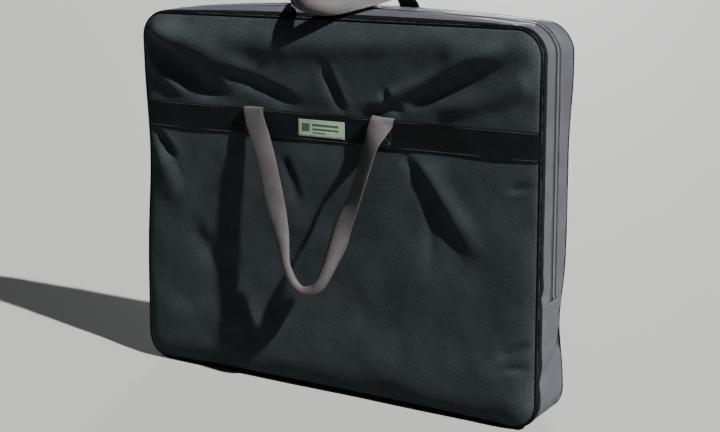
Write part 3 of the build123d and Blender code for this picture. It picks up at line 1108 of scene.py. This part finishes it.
class BAG_OT_handles(bpy.types.Operator):
    """Makes the two webbing handles"""

    bl_idname = "bag.handles"
    bl_label = "Handles"

    def execute(self, context):
        width = context.scene.bag_sizes.webbing
        front = single("front_handle_webbing", ribbon, FRONT_HANDLE, width)
        self.dress(front, ["handle_front", "handle_front_ends"])
        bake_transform(front)
        cloth = Cloth()
        for foot, lean in REAR_FEET:
            ribbon(cloth, [(foot + lean * x, *rest) for x, *rest in REAR_LEG], width)
        legs = cloth.object("rear_handle_legs_webbing")
        self.dress(legs, ["handle_rear_legs", "handle_rear_ends"])
        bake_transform(legs)
        loop = single("rear_handle_loop_webbing", ribbon, REAR_LOOP, width)
        self.dress(loop, ["handle_rear_loop"])
        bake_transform(loop)
        return {"FINISHED"}

    def dress(self, piece, replaced):
        """A handle's material; the model's parts that it replaces are hidden."""
        piece.data.materials.append(finish_of("handle"))
        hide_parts(*replaced)


class BAG_OT_inside(bpy.types.Operator):
    """Makes the bound seams and the bottom's cover, which show when the bag is open"""

    bl_idname = "bag.inside"
    bl_label = "Inside"

    def execute(self, context):
        path = outline(0.0, step=0.008)
        swell = 0.9 * MM * np.sin(np.linspace(0, pi, 7)) ** 0.5
        for name, body, replaced in (
            ("front_binding", "flap", ["binding_front_upper", "binding_front_lower"]),
            ("rear_binding", "shell", ["binding_rear"]),
        ):
            y = np.linspace(LOW[replaced[0]][1], HIGH[replaced[0]][1], 7)
            rings = section(around(path, -2.6 * MM, y), around(path, -3.4 * MM - swell, y))
            made = single(name, strip, settle(rings), path[2], close=True)
            dress(made, "tape", body, replaced, bends=body == "flap")
        low, high = LOW["bottom_lining"], HIGH["bottom_lining"]
        x, y = np.linspace(low[0], high[0], 91), np.linspace(low[1], high[1], 21)
        gx, gy = np.meshgrid(x, y, indexing="ij")
        edge = np.minimum(high[0] - np.abs(gx), high[1] - np.abs(gy))
        gz = low[2] + 0.6 * MM + 1.4 * MM * smooth(edge, 0, 10 * MM) + 0.2 * MM * ripple(gx, gy, 0.06, 8)
        points, uv = np.stack([gx, gy, gz], -1), np.stack([gx, gy], -1)
        cover = single("bottom_cover", slab, points, uv, 0.5 * MM)
        dress(cover, "lining", "shell", ["bottom_lining"])
        return {"FINISHED"}


class BAG_OT_fittings(bpy.types.Operator):
    """Gives the zip's slider, pull and stops, and the bottom board, their finishes"""

    bl_idname = "bag.fittings"
    bl_label = "Fittings"

    def execute(self, context):
        for node, finish in (
            ("zip_slider", "enamel"),
            ("zip_pull", "enamel"),
            ("zip_stop_left", "steel"),
            ("zip_stop_right", "steel"),
            ("bottom_board", "board"),
        ):
            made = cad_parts[node]
            for slot in made.material_slots:
                slot.material = finish_of(finish)
        return {"FINISHED"}


# Stage

AZIMUTH, ELEVATION = radians(31.38), radians(8.98)
DISTANCE = 2.485
AIM = (0.0352, 0.0, 0.4603)
LENS = 70.0
SHIFT = -0.111


def lamp(name, kind, way, far, aim=(0, 0, 0), **settings):
    """A light that stands off from aim along way, and looks back at it."""
    data = bpy.data.lights.new(name, kind)
    for key, value in settings.items():
        setattr(data, key, value)
    made = bpy.data.objects.new(name, data)
    bpy.context.scene.collection.objects.link(made)
    way = np.array(way, float) / np.linalg.norm(way)
    look_from(made, np.array(aim) + far * way, way)


def look_from(thing, place, back):
    """Puts a light or camera at place, looking against back, upright."""
    right = np.cross((0.0, 0.0, 1.0), back)
    right /= np.linalg.norm(right)
    up = np.cross(back, right)
    thing.matrix_world = Matrix(np.stack([right, up, back, place], 1).tolist()).to_4x4()
    thing.location = place


class BAG_OT_stage(bpy.types.Operator):
    """Makes the floor, the lights and the camera"""

    bl_idname = "bag.stage"
    bl_label = "Stage"

    def execute(self, context):
        scene = context.scene
        side = np.linspace(-45, 45, 3)
        gx, gy = np.meshgrid(side, side, indexing="ij")
        spots = np.stack([gx, gy, np.full(gx.shape, -0.6 * MM)], -1)
        floor = single("floor", Cloth.grid, spots, spots[..., :2])
        material, _, shader = nodes_of("pale_floor")
        shader.inputs["Base Color"].default_value = (0.17, 0.17, 0.17, 1)
        shader.inputs["Roughness"].default_value = 0.8
        floor.data.materials.append(material)
        world = bpy.data.worlds.new("studio")
        world.use_nodes = True
        world.node_tree.nodes["Background"].inputs[0].default_value = (0.93, 0.95, 1.0, 1)
        world.node_tree.nodes["Background"].inputs[1].default_value = 0.08
        scene.world = world
        warm = (1.0, 0.985, 0.96)
        lamp("key", "SUN", (0.72, -0.165, 0.66), 6, energy=20, angle=radians(1.3), color=warm)
        lamp("back", "SUN", (-0.45, 1.0, 0.10), 6, energy=3, angle=radians(12))
        middle = (0, 0, 0.35)
        lamp("fill", "AREA", (-0.6, -1.0, 0.35), 3.6, middle, shape="SQUARE", size=2.4, energy=3)
        back = np.array(
            [sin(AZIMUTH) * cos(ELEVATION), -cos(AZIMUTH) * cos(ELEVATION), sin(ELEVATION)]
        )
        camera = bpy.data.objects.new("camera", bpy.data.cameras.new("camera"))
        scene.collection.objects.link(camera)
        camera.data.lens, camera.data.sensor_width = LENS, 36.0
        camera.data.shift_y = SHIFT
        look_from(camera, np.array(AIM) + DISTANCE * back, back)
        scene.camera = camera
        return {"FINISHED"}


class BAG_PT_panel(bpy.types.Panel):
    """Lists the bag's sizes, colours and makers"""

    bl_label = "Carrying bag"
    bl_idname = "BAG_PT_panel"
    bl_space_type = "VIEW_3D"
    bl_region_type = "UI"
    bl_category = "Bag"

    def draw(self, context):
        for group in (context.scene.bag_sizes, context.scene.bag_colours):
            for name in group.__annotations__:
                self.layout.prop(group, name)
        for maker in MAKERS:
            self.layout.operator(maker.bl_idname)


MAKERS = (
    BAG_OT_stage,
    BAG_OT_panels,
    BAG_OT_piping,
    BAG_OT_gusset,
    BAG_OT_zip,
    BAG_OT_bands,
    BAG_OT_label,
    BAG_OT_handles,
    BAG_OT_inside,
    BAG_OT_fittings,
)
CLASSES = (BagSizes, BagColours, *MAKERS, BAG_PT_panel)


def register():
    for one in CLASSES:
        bpy.utils.register_class(one)
    bpy.types.Scene.bag_sizes = PointerProperty(type=BagSizes)
    bpy.types.Scene.bag_colours = PointerProperty(type=BagColours)


def unregister():
    del bpy.types.Scene.bag_sizes, bpy.types.Scene.bag_colours
    for one in reversed(CLASSES):
        bpy.utils.unregister_class(one)


def main():
    register()
    for maker in MAKERS:
        group, name = maker.bl_idname.split(".")
        getattr(getattr(bpy.ops, group), name)()


if __name__ == "__main__":
    main()
